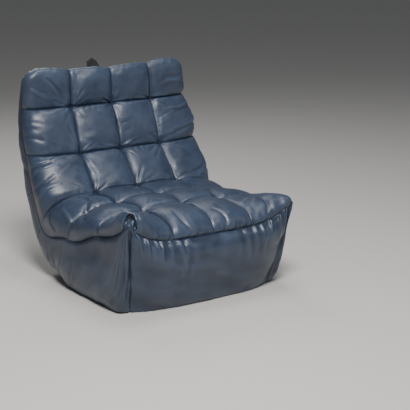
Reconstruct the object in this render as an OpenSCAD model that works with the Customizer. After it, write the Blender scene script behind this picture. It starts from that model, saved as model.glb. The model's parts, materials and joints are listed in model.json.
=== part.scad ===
// Quilted leather bean bag lounge chair. It faces -Y and rests on z = 0.
// Every layer is lofted between a front line (the sitting side) and a rear line (back and underside).

/* [Overall] */
// Width across the cushion, side to side
body_w = 930; // [820:5:1080]
// Depth from the front seam to the back
body_d = 1040; // [920:5:1240]
// Height of the top edge above the floor
body_h = 960; // [820:5:1130]

/* [Seat and back] */
// Height of the seat's tufts above the floor
seat_h = 400; // [350:5:460]
// Seat depth from the crease to the front seam
seat_d = 636; // [540:2:700]
// Drop of the front seam below the seat, at the middle
front_drop = 77; // [50:1:110]
// Rise of the front corners above the middle of the front seam
corner_rise = 85; // [40:1:110]
// Thickness of the back at the upper tufts
back_t = 150; // [125:5:190]
// Lean of the back from the vertical
back_lean = 21.8; // [15:0.1:26]
// Height of the heel line, where the back turns under
heel_h = 95; // [70:5:130]

/* [Quilt] */
// Width of a middle patch
patch_w = 215; // [180:1:240]
// How far the outer patches bulge past the sides
side_bulge = 15; // [8:1:25]
// Height of a patch's crown above its seams
puff_h = 42; // [25:1:55]
// Leather thickness
leather_t = 2; // [1.2:0.1:2.5]
// Wadding thickness under a seam
wadding_t = 6; // [4:0.5:8]
// Diameter of a tuft tie
tie_d = 2.4; // [1.6:0.1:3]
// Diameter of a tuft washer
washer_d = 22; // [14:1:30]

/* [Lining] */
// Backing cloth and liner cloth thickness
cloth_t = 1.5; // [0.8:0.1:2]
// Depth of the wadding's outer face under a seam
wadding_depth = 14; // [10:0.5:18]

/* [Zip] */
// Length of the closed row of teeth
zip_l = 400; // [300:5:440]
// Width of the slot that the zip closes
zip_slot = 14; // [12:0.5:18]
// Pitch of the teeth
tooth_pitch = 5; // [4:0.5:8]
// Length of the pull
pull_l = 32; // [20:1:40]

/* [Strap] */
// Width of the webbing
strap_w = 30; // [25:1:40]
// Thickness of the webbing
strap_t = 3; // [2:0.5:4]
// Gap between the legs of the loop
strap_gap = 20; // [16:1:50]
// Height of the loop above its hinge line
strap_h = 80; // [65:1:110]
// Distance of the loop from the middle of the back
strap_offset = 40; // [0:5:150]

/* [Hidden] */

rows = 6;
cols = 4;
eps = 0.002;
gap = 0.3;

// Named heights and places of the two guiding lines
rear_bulge = 14.4;
rear_y = body_d / 2 - rear_bulge;
corner_reach = 0.1;
front_y = corner_reach * corner_rise - body_d / 2;
top_z = body_h - 25;
back_rise = top_z - seat_h;
top_y = rear_y - 0.78 * back_t;
a_z = seat_h + 0.708 * back_rise;
b_z = seat_h + 0.316 * back_rise;
a_y = rear_y - back_t;
b_y = a_y - tan(back_lean) * (a_z - b_z);
seat_share = [0.72, 0.40];
heel_in = 142;

// Stations run 0 at the top seam to 1 at the front seam: [station, y, z]
front_line = [
    [0, top_y, top_z],
    [1 / 6, a_y, a_z],
    [2 / 6, b_y, b_z],
    [3 / 6, front_y + seat_d, seat_h + 10],
    [4 / 6, front_y + seat_share[0] * seat_d, seat_h - 3],
    [5 / 6, front_y + seat_share[1] * seat_d, seat_h + 2],
    [1, front_y, seat_h - front_drop]];
rear_line = [
    [0, top_y, top_z],
    [1 / 6, rear_y, a_z + 10],
    [2 / 6, rear_y - 3, b_z + 20],
    [3 / 6, rear_y - heel_in, heel_h],
    [4 / 6, front_line[4][1] + 160, -25],
    [5 / 6, front_line[5][1] + 15, -50],
    [11 / 12, front_y + 105, -35],
    [1, front_y, seat_h - front_drop]];
// End slopes, in mm per whole line
front_ends = [[-520, 330], [-420, -1500]];
rear_ends = [[900, 130], [-560, 2100]];
// Half width, as shares of the width between the side seams
half_w = [[0, 0.44], [1 / 12, 0.472], [1 / 6, 0.484], [2 / 6, 0.5], [3 / 6, 0.5], [4 / 6, 0.487],
    [5 / 6, 0.475], [1, 0.472]];
// Width of the middle patches, as shares of patch_w
patch_taper = [[0, 0.985], [1 / 6, 1.015], [2 / 6, 1.02], [3 / 6, 1.045], [4 / 6, 0.99], [5 / 6, 0.935],
    [1, 0.96]];
// Place of the side seam between the two guiding lines
seam_split = [[0, 0.5], [3 / 6, 0.5], [4 / 6, 0.36], [5 / 6, 0.25], [1, 0.2]];

// Stations and shares where the lower panels meet
v_zip = 10 / 24;
v_heel = 0.5;
v_base = [15 / 24, 43 / 48];
edge_share = [[v_heel, 0.66], [v_base[0], 0.62], [0.76, 0.72], [v_base[1], 0.84], [1, 1]];

function mix(a, b, t) = a + (b - a) * t;
function clamp01(t) = min(1, max(0, t));
function smooth(t) = let (c = clamp01(t)) c * c * (3 - 2 * c);
function seg(line, v, i = 0) = i >= len(line) - 2 || v < line[i + 1][0] ? i : seg(line, v, i + 1);
function slope(line, ends, i) =
    i == 0 ? ends[0] : i == len(line) - 1 ? ends[1] :
    (yz(line[i + 1]) - yz(line[i - 1])) / (line[i + 1][0] - line[i - 1][0]);
function yz(p) = [p[1], p[2]];
// Cubic through the points of a guiding line
function along(line, ends, v) = let (
    i = seg(line, v), h = line[i + 1][0] - line[i][0], t = (v - line[i][0]) / h,
    m0 = slope(line, ends, i) * h, m1 = slope(line, ends, i + 1) * h,
    t2 = t * t, t3 = t2 * t)
    (2 * t3 - 3 * t2 + 1) * yz(line[i]) + (t3 - 2 * t2 + t) * m0
    + (3 * t2 - 2 * t3) * yz(line[i + 1]) + (t3 - t2) * m1;
// Straight-line table, smoothed between its entries
function table(list, v) = let (i = seg(list, v),
    t = (v - list[i][0]) / (list[i + 1][0] - list[i][0])) mix(list[i][1], list[i + 1][1], smooth(t));

function seam_x(v) = table(half_w, v) * (body_w - 2 * side_bulge);
function front_at(v) = along(front_line, front_ends, v);
function rear_at(v) = along(rear_line, rear_ends, v);
// Power of the section's rounded corners, on either side of the side seam
function squareness(v, rear) = rear
    ? mix(4, 4.6, smooth((v - 0.6) / 0.3))
    : mix(4.2, 2.6, smooth((v - 0.45) / 0.3));
// The sitting side's corners rise early, the underside's only close to the seam
function corner_lift(v, s) = corner_rise * mix(smooth((v - 0.72) / 0.28), smooth((v - 0.9) / 0.1), clamp01(-2 * s));

// Point of a layer: station v, angle q round the section (0 front centre, 90 side, 180 rear centre),
// grown outwards by g (negative for an inner layer), and no lower than floor_z
function point(v, q, g = 0, floor_z = 0) = let (
    f = front_at(v), r = rear_at(v), c = mix(f, r, table(seam_split, v)),
    rear = cos(q) < 0, h = rear ? c - r : f - c,
    long = max(norm(h), 0.001), grown = max(0, long + g) / long,
    n = squareness(v, rear), a = seam_x(v) + g,
    sx = sign(sin(q)) * pow(abs(sin(q)), 2 / n),
    s = sign(cos(q)) * pow(abs(cos(q)), 2 / n),
    lift = corner_lift(v, s) * pow(abs(sx), 4.5),
    p = c + h * s * grown)
    [a * sx, p[0] - corner_reach * lift, max(floor_z, p[1] + lift)];

// Angle whose point lies at a share of the half width
function angle_at(v, share, rear) = let (q = asin(pow(share, squareness(v, rear) / 2))) rear ? 180 - q : q;
// Column coordinate -2 to 2 across the quilt
function column_share(v) = table(patch_taper, v) * patch_w / seam_x(v);
function quilt_angle(v, k) = let (s = abs(k), q1 = angle_at(v, column_share(v), false))
    sign(k) * (s <= 1 ? angle_at(v, s * column_share(v), false) : mix(q1, 90, s - 1));
// Coordinate 0 at the side seam to 1 at an edge angle
function under_angle(v, t) = mix(90, angle_at(v, table(edge_share, v), true), t);

function raw_normal(v, q) = let (
    a = point(max(0, v - eps), q), b = point(min(1, v + eps), q),
    c = point(v, q - 0.4), d = point(v, q + 0.4), m = cross(b - a, d - c))
    norm(m) < 1e-9 ? [0, 0, 1] : m / norm(m);
function unit(p) = p / max(norm(p), 1e-9);
// Outward normal; the two sides of the top and front seams share one
function normal(v, q) = let (w = min(0.97, max(0.03, v)),
    share = pow(abs(sin(q)), 2 / squareness(v, cos(q) < 0)), side = sin(q) < 0 ? -1 : 1)
    v > 0.004 && v < 0.996 ? raw_normal(w, q)
    : unit(raw_normal(w, side * angle_at(v, share, false)) + raw_normal(w, side * angle_at(v, share, true)));

function crown(s, t) = pow(max(0, 16 * s * (1 - s) * t * (1 - t)), 0.55);

// Closed shell between an outer and an inner grid of points, both (m + 1) x (n + 1).
// Shells that meet split the wall between them the same way; turned is for columns that run to -X
module shell(outer, inner, m, n, turned) {
    w = n + 1;
    count = (m + 1) * w;
    border = concat([for (j = [0:n - 1]) j], [for (i = [0:m - 1]) i * w + n],
        [for (j = [n:-1:1]) m * w + j], [for (i = [m:-1:1]) i * w]);
    faces = concat(
        [for (i = [0:m - 1], j = [0:n - 1], k = [0, 1]) k == 0
            ? [i * w + j, i * w + j + 1, (i + 1) * w + j]
            : [i * w + j + 1, (i + 1) * w + j + 1, (i + 1) * w + j]],
        [for (i = [0:m - 1], j = [0:n - 1], k = [0, 1]) k == 0
            ? [count + i * w + j, count + (i + 1) * w + j, count + i * w + j + 1]
            : [count + i * w + j + 1, count + (i + 1) * w + j, count + (i + 1) * w + j + 1]],
        [for (e = [0:len(border) - 1], k = [0, 1]) let (
            a = border[e], b = border[(e + 1) % len(border)],
            other = e < n ? turned : e < n + m ? false : e < 2 * n + m ? !turned : true)
            other ? (k == 0 ? [a, count + a, count + b] : [a, count + b, b])
                : (k == 0 ? [a, count + a, b] : [b, count + a, count + b])]);
    polyhedron(concat(outer, inner), faces);
}

// Leather shell over a range of stations (rows of the grid) and angles (columns)
module leather(vs, angles, puff, turned = true) {
    m = len(vs) - 1;
    n = len(angles[0]) - 1;
    outer = [for (i = [0:m], j = [0:n]) let (v = vs[i][j], q = angles[i][j])
        point(v, q) + normal(v, q) * puff[i][j]];
    inner = [for (i = [0:m], j = [0:n]) let (v = vs[i][j], q = angles[i][j])
        point(v, q) + normal(v, q) * (puff[i][j] - leather_t)];
    shell(outer, inner, m, n, turned);
}

function steps(a, b, n) = [for (i = [0:n]) mix(a, b, i / n)];
// The stations that all layers share between two of them, closer together towards the front seam
all_stations = concat([for (i = [0:19]) i / 24], [for (i = [40:48]) i / 48]);
function stations(a, b) = [for (v = all_stations) if (v > a - 1e-6 && v < b + 1e-6) v];

module quilt_patch(r, c) {
    k = 4;
    vs = stations((r - 1) / rows, r / rows);
    ks = steps(c - 3, c - 2, k);
    angles = [for (v = vs) [for (t = ks) quilt_angle(v, t)]];
    puff = [for (v = vs) [for (j = [0:k]) puff_h * crown(clamp01(v * rows - r + 1), j / k)]];
    color("steelblue") leather([for (v = vs) [for (t = ks) v]], angles, puff, false);
}

module side_panel(side) {
    vs = stations(v_heel, 1);
    t = steps(0, 1, n_side);
    angles = [for (v = vs) [for (s = t) side * under_angle(v, side > 0 ? s : 1 - s)]];
    flat = [for (v = vs) [for (s = t) 0]];
    color("steelblue") leather([for (v = vs) [for (s = t) v]], angles, flat);
}

module front_panel() {
    vs = stations(v_base[1], 1);
    // Columns that meet the quilt's along the front seam
    shares = [for (k = steps(2, -2, 4 * cols)) let (q = quilt_angle(1, k)) point(1, q)[0] / point(1, 90)[0]];
    angles = [for (v = vs) [for (s = shares) let (q = angle_at(v, abs(s) * table(edge_share, v), true))
        s < 0 ? 360 - q : q]];
    flat = [for (v = vs) [for (s = shares) 0]];
    color("slategray") leather([for (v = vs) [for (s = shares) v]], angles, flat);
}

// Station of the rear panels' shared edge: it opens to a slot behind the zip
function zip_share(q) = let (x = point(v_zip, q)[0]) smooth((slot_x + 14 - abs(x)) / 14);
line_len = norm(rear_at(v_zip + 0.01) - rear_at(v_zip - 0.01)) / 0.02;
function slot_edge(q, side) = v_zip + side * zip_slot / 2 / line_len * zip_share(q);

// Columns of the rear panels: they meet the side and heel panels' below, and the slot's corners at the zip
n_side = 6;
n_sole = 12;
slot_x = zip_l / 2 + 8;
function rear_angle(v, j) = let (
    e = under_angle(v, 1), k = abs(j - n_side - n_sole / 2),
    edge_x = table(edge_share, v) * seam_x(v),
    x = k <= 3 ? slot_x * k / 3 : k == 4 ? slot_x + 14 : mix(slot_x + 14, edge_x, (k - 4) / 2),
    q = k > n_sole / 2 ? under_angle(v, 1 - (k - n_sole / 2) / n_side)
        : mix(angle_at(v, x / seam_x(v), true), mix(180, e, 2 * k / n_sole),
            clamp01(abs(v - v_zip) / (v_heel - v_zip))))
    j > n_side + n_sole / 2 ? 360 - q : q;

module rear_panel(v0, v1) {
    vs = stations(v0, v1);
    angles = [for (v = vs) [for (j = [0:2 * n_side + n_sole]) rear_angle(v, j)]];
    places = [for (i = [0:len(vs) - 1]) [for (q = angles[i])
        abs(vs[i] - v_zip) < 1e-6 ? slot_edge(q, v1 > v_zip + 1e-6 ? 1 : -1) : vs[i]]];
    flat = [for (row = angles) [for (q = row) 0]];
    color("steelblue") leather(places, angles, flat);
}

module heel_panel() {
    vs = stations(v_heel, v_base[0]);
    angles = [for (v = vs) let (q = under_angle(v, 1)) steps(q, 360 - q, n_sole)];
    flat = [for (v = vs) [for (j = [0:n_sole]) 0]];
    color("slategray") leather([for (v = vs) [for (j = [0:n_sole]) v]], angles, flat);
}

// Flat sole on the floor, just inside the panels round it
module base_panel() {
    inset = 1.2;
    mid = (point(v_base[0], 180)[1] + point(v_base[1], 180)[1]) / 2;
    half = abs(point(v_base[0], 180)[1] - mid);
    right = [for (v = stations(v_base[0], v_base[1])) point(v, under_angle(v, 1))];
    m = len(right) - 1;
    shrink_y = (half - inset) / half;
    rim = [for (p = right) [p[0] - inset, mid + (p[1] - mid) * shrink_y]];
    outline = concat(rim, [for (i = [m:-1:0]) [-rim[i][0], rim[i][1]]]);
    color("dimgray") linear_extrude(leather_t) polygon(outline);
}

// Inner layers: they stop short of the top and front seams, and share one grid of points
v_inner = [2 / 24, 22 / 24];
front_angles = function(v) [for (k = steps(-cols / 2, cols / 2, 4 * cols)) quilt_angle(v, k)];
back_angles = function(v) [for (k = steps(cols / 2, -cols / 2, 4 * cols)) let (q = quilt_angle(v, k))
    180 - q];

// A cloth or wadding layer between two depths; the wadding fills the patches' crowns
module layer(angles, deep0, deep1, fills, floor_z) {
    vs = stations(v_inner[0], v_inner[1]);
    n = 4 * cols;
    outer = [for (v = vs) let (qs = angles(v)) for (j = [0:n])
        point(v, qs[j], (fills ? fill_share * puff_h * crown(frac(v * rows), frac(j / 4)) : 0) - deep0, floor_z)];
    inner = [for (v = vs, q = angles(v)) point(v, q, -deep1, floor_z + deep1 - deep0)];
    shell(outer, inner, len(vs) - 1, n, false);
}
function frac(x) = x - floor(x + 1e-9);

room = 1.5;
// How much of a patch's crown the wadding fills
fill_share = 0.6;
backing_depth = wadding_depth + wadding_t + room;
washer_t = 1.2;
liner_depth = backing_depth + cloth_t + washer_t + 5 * room;
fill_depth = liner_depth + cloth_t + 2 * room;

module quilt_wadding() color("white")
    layer(front_angles, wadding_depth, wadding_depth + wadding_t, true, 10);

module quilt_backing() color("wheat")
    layer(front_angles, backing_depth, backing_depth + cloth_t, false, 10);

function tuft(r, c) = [r / rows, quilt_angle(r / rows, c)];
tufts = [for (r = [1:rows - 1], c = [-1:1]) tuft(r, c)];

// Stands a shape at a tuft's place in the layers, at a depth, its +Z along an axis
module at_depth(t, depth, axis) translate(point(t[0], t[1], -depth))
    rotate([0, acos(axis[2]), atan2(axis[1], axis[0])]) children();

tie_top = 3;
tie_foot = backing_depth + cloth_t + 2.5 * room + washer_t / 2;
module tuft_ties() color("white") for (t = tufts) let (
    line = point(t[0], t[1], -tie_top) - point(t[0], t[1], -tie_foot))
    at_depth(t, tie_foot, unit(line)) cylinder(h = norm(line), d = tie_d, $fn = 16);

module tuft_washers() color("gray") for (t = tufts)
    at_depth(t, tie_foot, normal(t[0], t[1])) cylinder(h = washer_t, d = washer_d, center = true, $fn = 24);

// Half of the liner bag: a sheet from side seam to side seam
module liner(angles) color("ivory") layer(angles, liner_depth, liner_depth + cloth_t, false, leather_t + 3);

// Solid lump of beads between two stations
fill_split = 0.2;
module beads(v0, v1) {
    vs = [for (v = stations(v0, v1)) v];
    m = len(vs) - 1;
    n = 8 * cols;
    rings = [for (v = vs) let (f = front_angles(v), b = back_angles(v),
        w = abs(v - v_heel) < 1e-6 ? v + (v1 > v_heel + 0.01 ? 1 : -1) * fill_split / 100 : v)
        for (q = concat([for (j = [0:n / 2 - 1]) f[j]], [for (j = [0:n / 2 - 1]) b[j]]))
            point(w, q, -fill_depth, leather_t + 8)];
    faces = concat(
        [for (i = [0:m - 1], j = [0:n - 1], k = [0, 1]) let (a = i * n + j, b = i * n + (j + 1) % n)
            k == 0 ? [a, b, a + n] : [b, b + n, a + n]],
        [[for (j = [n - 1:-1:0]) j]], [[for (j = [0:n - 1]) m * n + j]]);
    color("whitesmoke") polyhedron(rings, faces);
}

// Zip frame: x along the zip, y down the panel, z outwards
zip_at = rear_at(v_zip);
zip_dir = unit(rear_at(v_zip + 0.01) - rear_at(v_zip - 0.01));
zip_tilt = atan2(zip_dir[1], zip_dir[0]);
zip_sink = 8;
module on_zip() translate([0, zip_at[0], zip_at[1]]) rotate([zip_tilt, 0, 0]) translate([0, 0, -zip_sink]) children();

tape_w = 15;
tape_t = 0.8;
row_gap = 1.6;
tooth = [tooth_pitch * 0.5, 2.4, 2];
teeth = floor(zip_l / tooth_pitch);
module zip_tape(side) color("black") on_zip()
    translate([-zip_l / 2 - 10, side > 0 ? row_gap / 2 + 0.6 : -row_gap / 2 - 0.6 - tape_w, -tape_t / 2])
        cube([zip_l + 20, tape_w, tape_t]);

module zip_teeth(side) color("dimgray") on_zip() for (i = [0:teeth - 1])
    translate([(i + (side > 0 ? 0.25 : 0.75)) * tooth_pitch - zip_l / 2 - tooth[0] / 2,
        side > 0 ? row_gap / 2 : -row_gap / 2 - tooth[1], 0])
        difference() {
            translate([0, 0, -tooth[2] / 2]) cube(tooth);
            translate([-1, side > 0 ? 0.6 - 0.05 : -1, -tape_t / 2 - 0.05])
                cube([tooth[0] + 2, tooth[1] - 0.6 + 1.05, tape_t + 0.1]);
        }

stop_l = 3;
module zip_end_stops() color("dimgray") on_zip() for (side = [-1, 1])
    translate([side * (zip_l / 2 + stop_l), 0, tape_t / 2]) translate([-stop_l / 2, -3, 0]) cube([stop_l, 6, 1]);

slider_l = 11;
slider_w = 9;
plate_t = 1.2;
plate_gap = tooth[2] + 2 * gap;
slider_x = zip_l / 2 - slider_l;
bail_side = [3, 5];
pull_pin_r = 0.6;
pull_t = 1.4;
pivot_z = zip_sink + 1.3;
bail_h = pivot_z + 0.9 - plate_gap / 2 - plate_t;
module zip_slider() color("silver") on_zip() translate([slider_x, 0, 0]) {
    for (z = [plate_gap / 2, -plate_gap / 2 - plate_t])
        translate([-slider_l / 2, -slider_w / 2, z]) cube([slider_l, slider_w, plate_t]);
    translate([-2, -row_gap / 2 + gap, -plate_gap / 2]) cube([4, row_gap - 2 * gap, plate_gap]);
    translate([0, 0, plate_gap / 2 + plate_t]) for (s = [-1, 1])
        translate([-bail_side[0] / 2, s * bail_side[1] / 2 - 0.5, -0.01]) cube([bail_side[0], 1, bail_h + 0.01]);
    translate([0, bail_side[1] / 2, pivot_z]) rotate([90, 0, 0]) cylinder(h = bail_side[1], r = pull_pin_r, $fn = 24);
}

pull_w = 7;
eye_w = bail_side[1] - 1 - 2 * gap;
module zip_pull() color("silver") on_zip() translate([slider_x, 0, pivot_z]) difference() {
    union() {
        translate([-6, -eye_w / 2, -pull_t / 2]) cube([6, eye_w, pull_t]);
        rotate([90, 0, 0]) translate([0, 0, -eye_w / 2]) cylinder(h = eye_w, r = 1.25, $fn = 32);
        translate([-pull_l, -pull_w / 2, -pull_t / 2]) cube([pull_l - 4.5, pull_w, pull_t]);
    }
    rotate([90, 0, 0]) translate([0, 0, -eye_w]) cylinder(h = 2 * eye_w, r = pull_pin_r + 0.08, $fn = 32);
    translate([-pull_l + 5, 0, -pull_t]) cylinder(h = 2 * pull_t, d = 4, $fn = 24);
}

// Strap: tabs sewn to the rear panel below the top seam, and the loop that hinges above them
v_tab = 0.075;
tab_l = 34;
tab_at = rear_at(v_tab);
tab_dir = unit(rear_at(v_tab + 0.01) - rear_at(v_tab - 0.01));
tab_tilt = atan2(tab_dir[1], tab_dir[0]);
leg_x = (strap_gap + strap_w) / 2;
module on_tab() translate([-strap_offset, tab_at[0], tab_at[1]]) rotate([tab_tilt, 0, 0]) children();
hinge_up = tab_l / 2 + strap_t / 2 + gap;
hinge_out = 2 * gap + 1.5 * strap_t;
module strap_tab(side) color("black") on_tab()
    translate([side * leg_x - strap_w / 2, -tab_l / 2, gap]) cube([strap_w, tab_l, strap_t]);

// Flat loop in its own plane: x across, y up from the hinge line
loop_lean = 4;
hinge_y = tab_at[0] - cos(tab_tilt) * hinge_up - sin(tab_tilt) * hinge_out;
hinge_z = tab_at[1] - sin(tab_tilt) * hinge_up + cos(tab_tilt) * hinge_out;
loop_w = strap_gap + 2 * strap_w;
loop_r = 22;
module carry_strap() color("black") translate([-strap_offset, hinge_y, hinge_z]) rotate([90 - loop_lean, 0, 0])
    union() {
    // The legs' rolled feet turn in the sewn ends
    for (s = [-1, 1]) translate([s * leg_x - strap_w / 2, 0, 0]) rotate([0, 90, 0])
        cylinder(h = strap_w, d = strap_t, $fn = 32);
    translate([0, 0, -strap_t / 2]) linear_extrude(strap_t) difference() {
        union() {
            translate([-loop_w / 2, 0]) square([loop_w, strap_h - loop_r]);
            translate([-loop_w / 2 + loop_r, 0]) square([loop_w - 2 * loop_r, strap_h]);
            for (s = [-1, 1]) translate([s * (loop_w / 2 - loop_r), strap_h - loop_r]) circle(r = loop_r, $fn = 48);
        }
        translate([-strap_gap / 2, -1]) square([strap_gap, strap_h - strap_w + 1]);
    }
    }

for (r = [1:rows], c = [1:cols]) quilt_patch(r, c);
side_panel(-1);  // side_panel_left
side_panel(1);  // side_panel_right
front_panel();
rear_panel(0, v_zip);  // rear_panel_upper
rear_panel(v_zip, v_heel);  // rear_panel_lower
heel_panel();
base_panel();
quilt_wadding();
quilt_backing();
tuft_ties();
tuft_washers();
liner(front_angles);  // liner_front
liner(back_angles);  // liner_rear
beads(v_inner[0], v_heel);  // bead_fill_back
beads(v_heel, v_inner[1]);  // bead_fill_seat
zip_tape(-1);  // zip_tape_upper
zip_tape(1);  // zip_tape_lower
zip_teeth(-1);  // zip_teeth_upper
zip_teeth(1);  // zip_teeth_lower
zip_end_stops();
zip_slider();
zip_pull();
strap_tab(-1);  // strap_tab_left
strap_tab(1);  // strap_tab_right
carry_strap();
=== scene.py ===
"""Looks of the quilted leather bean bag chair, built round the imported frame.

Metres, +Z up; the chair faces -Y.
"""

import bpy
import json
import math
import numpy as np
from mathutils import Matrix

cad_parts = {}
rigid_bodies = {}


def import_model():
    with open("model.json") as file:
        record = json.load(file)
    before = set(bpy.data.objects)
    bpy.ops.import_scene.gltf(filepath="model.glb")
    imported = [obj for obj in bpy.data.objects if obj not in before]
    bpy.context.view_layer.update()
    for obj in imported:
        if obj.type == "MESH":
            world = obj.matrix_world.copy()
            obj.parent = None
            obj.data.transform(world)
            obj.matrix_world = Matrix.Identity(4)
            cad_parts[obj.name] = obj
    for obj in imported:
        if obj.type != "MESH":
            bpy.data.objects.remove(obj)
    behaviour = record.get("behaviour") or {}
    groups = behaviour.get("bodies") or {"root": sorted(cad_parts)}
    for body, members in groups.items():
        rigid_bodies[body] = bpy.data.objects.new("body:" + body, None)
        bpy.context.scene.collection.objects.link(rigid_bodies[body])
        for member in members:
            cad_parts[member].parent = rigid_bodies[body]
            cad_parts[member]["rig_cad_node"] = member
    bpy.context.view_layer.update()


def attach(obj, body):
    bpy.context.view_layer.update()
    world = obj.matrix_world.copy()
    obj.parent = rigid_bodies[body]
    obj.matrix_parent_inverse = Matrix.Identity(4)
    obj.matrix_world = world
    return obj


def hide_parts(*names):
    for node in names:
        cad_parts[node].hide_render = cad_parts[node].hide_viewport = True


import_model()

# ---------------------------------------------------------------- camera
VIEW_TURN = math.radians(34.335)
VIEW_DROP = math.radians(14.176)
VIEW_DISTANCE = 5.5814
VIEW_TARGET = np.array([0.0, -0.010, 0.430])
VIEW_SHIFT = (-0.2462, 0.0823)
SENSOR = 36.0
FOCAL = 105.36585


def placed(right, up, ahead, place):
    """The matrix of a camera or a lamp that looks ahead from this place."""
    matrix = np.eye(4)
    matrix[:3, 0], matrix[:3, 1], matrix[:3, 2], matrix[:3, 3] = right, up, -ahead, place
    return Matrix(matrix.tolist())


def add_camera():
    """The camera stands at the chair's front left and looks a little down at it."""
    turn, drop = VIEW_TURN, VIEW_DROP
    right = np.array([math.cos(turn), -math.sin(turn), 0.0])
    ahead = np.array([math.sin(turn) * math.cos(drop), math.cos(turn) * math.cos(drop), -math.sin(drop)])
    up = np.array([math.sin(turn) * math.sin(drop), math.cos(turn) * math.sin(drop), math.cos(drop)])
    place = VIEW_TARGET - VIEW_DISTANCE * ahead - VIEW_SHIFT[0] * right - VIEW_SHIFT[1] * up
    camera = bpy.data.objects.new("camera", bpy.data.cameras.new("camera"))
    camera.data.sensor_width = SENSOR
    camera.data.lens = FOCAL
    camera.matrix_world = placed(right, up, ahead, place)
    bpy.context.scene.collection.objects.link(camera)
    bpy.context.scene.camera = camera


add_camera()

# ---------------------------------------------------------------- guiding lines, as in the CAD model
BODY_W, BODY_D, BODY_H = 0.930, 1.040, 0.960
SEAT_H, SEAT_D = 0.400, 0.636
FRONT_DROP, CORNER_RISE = 0.077, 0.085
BACK_T, BACK_LEAN = 0.150, math.radians(21.8)
HEEL_H, HEEL_IN = 0.095, 0.142
REAR_BULGE, CORNER_REACH = 0.0144, 0.1
SIDE_BULGE, PATCH_W = 0.015, 0.215
ROWS, COLS = 6, 4

rear_y = BODY_D / 2 - REAR_BULGE
front_y = CORNER_REACH * CORNER_RISE - BODY_D / 2
top_z = BODY_H - 0.025
top_y = rear_y - 0.78 * BACK_T
a_z = SEAT_H + 0.708 * (top_z - SEAT_H)
b_z = SEAT_H + 0.316 * (top_z - SEAT_H)
a_y = rear_y - BACK_T
b_y = a_y - math.tan(BACK_LEAN) * (a_z - b_z)

FRONT_LINE = np.array([
    [0, top_y, top_z],
    [1 / 6, a_y, a_z],
    [2 / 6, b_y, b_z],
    [3 / 6, front_y + SEAT_D, SEAT_H + 0.010],
    [4 / 6, front_y + 0.72 * SEAT_D, SEAT_H - 0.003],
    [5 / 6, front_y + 0.40 * SEAT_D, SEAT_H + 0.002],
    [1, front_y, SEAT_H - FRONT_DROP]])
REAR_LINE = np.array([
    [0, top_y, top_z],
    [1 / 6, rear_y, a_z + 0.010],
    [2 / 6, rear_y - 0.003, b_z + 0.020],
    [3 / 6, rear_y - HEEL_IN, HEEL_H],
    [4 / 6, FRONT_LINE[4][1] + 0.160, -0.025],
    [5 / 6, FRONT_LINE[5][1] + 0.015, -0.050],
    [11 / 12, front_y + 0.105, -0.035],
    [1, front_y, SEAT_H - FRONT_DROP]])
FRONT_ENDS = np.array([[-0.520, 0.330], [-0.420, -1.500]])
REAR_ENDS = np.array([[0.900, 0.130], [-0.560, 2.100]])
# Tables over the station v, 0 at the back's top edge and 1 at the front seam
HALF_W = [(0, 0.44), (1 / 12, 0.472), (1 / 6, 0.484), (2 / 6, 0.5), (3 / 6, 0.5), (4 / 6, 0.487),
          (5 / 6, 0.475), (1, 0.472)]
PATCH_TAPER = [(0, 0.985), (1 / 6, 1.015), (2 / 6, 1.02), (3 / 6, 1.045), (4 / 6, 0.99), (5 / 6, 0.935),
               (1, 0.96)]
SEAM_SPLIT = [(0, 0.5), (3 / 6, 0.5), (4 / 6, 0.36), (5 / 6, 0.25), (1, 0.2)]
V_ZIP, V_HEEL, V_BASE = 10 / 24, 0.5, (15 / 24, 43 / 48)
EDGE_SHARE = [(V_HEEL, 0.66), (V_BASE[0], 0.62), (0.76, 0.72), (V_BASE[1], 0.84), (1, 1)]


def smooth(t):
    t = np.clip(t, 0, 1)
    return t * t * (3 - 2 * t)


def mix(a, b, t):
    return a + (b - a) * t


def table(pairs, v):
    """Value at v, eased between the entries."""
    xs, ys = np.array(pairs).T
    v = np.clip(v, xs[0], xs[-1])
    i = np.clip(np.searchsorted(xs, v, side="right") - 1, 0, len(xs) - 2)
    return mix(ys[i], ys[i + 1], smooth((v - xs[i]) / (xs[i + 1] - xs[i])))


def along(line, ends, v):
    """Cubic through the points of a guiding line: (..., 2) of y and z."""
    xs, ps = line[:, 0], line[:, 1:]
    slopes = np.empty_like(ps)
    slopes[1:-1] = (ps[2:] - ps[:-2]) / (xs[2:] - xs[:-2])[:, None]
    slopes[0], slopes[-1] = ends
    i = np.clip(np.searchsorted(xs, v, side="right") - 1, 0, len(xs) - 2)
    h = (xs[i + 1] - xs[i])[..., None]
    t = ((v - xs[i]) / (xs[i + 1] - xs[i]))[..., None]
    t2, t3 = t * t, t * t * t
    return ((2 * t3 - 3 * t2 + 1) * ps[i] + (t3 - 2 * t2 + t) * slopes[i] * h
            + (3 * t2 - 2 * t3) * ps[i + 1] + (t3 - t2) * slopes[i + 1] * h)


def squareness(v, rear):
    return np.where(rear, mix(4, 4.6, smooth((v - 0.6) / 0.3)), mix(4.2, 2.6, smooth((v - 0.45) / 0.3)))


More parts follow.
